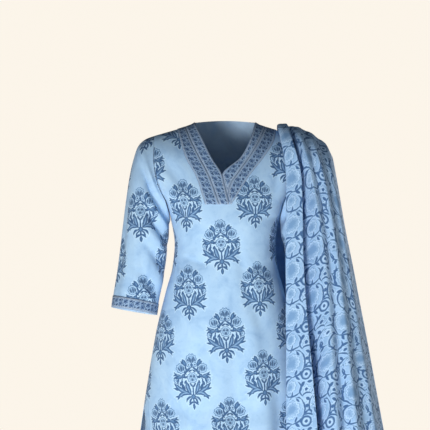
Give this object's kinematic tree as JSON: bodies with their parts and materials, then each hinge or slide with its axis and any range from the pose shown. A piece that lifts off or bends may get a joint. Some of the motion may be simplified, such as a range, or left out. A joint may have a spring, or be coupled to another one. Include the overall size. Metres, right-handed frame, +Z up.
{
  "type": "kurti with dupatta",
  "caption": "Worn printed cotton kurti with a V neck, three-quarter sleeves and side slits, and a dupatta draped over its left shoulder; hollow, with no wearer.",
  "frame": {"origin": "midway between the two neck points, at the height of the shoulder seams' inner ends, where the wearer's shoulders carry the kurti", "axes": "+Z up, the front faces -Y, and +X is the wearer's left, where the dupatta hangs"},
  "size_m": [0.7484, 0.4283, 1.1666],
  "materials": {
    "kurti_cotton": "matt printed cotton",
    "border_cotton": "matt printed cotton strip",
    "dupatta_muslin": "soft matt printed muslin"
  },
  "bodies": {
    "root": {"kurti_front": "kurti_cotton", "kurti_back": "kurti_cotton", "sleeve_right": "kurti_cotton", "sleeve_left": "kurti_cotton", "sleeve_border_right": "border_cotton", "sleeve_border_left": "border_cotton", "neck_border_right_outer": "border_cotton", "neck_border_right_inner": "border_cotton", "neck_border_left_outer": "border_cotton", "neck_border_left_inner": "border_cotton", "dupatta_front": "dupatta_muslin", "dupatta_shoulder": "dupatta_muslin", "dupatta_back": "dupatta_muslin"}
  },
  "joints": []
}
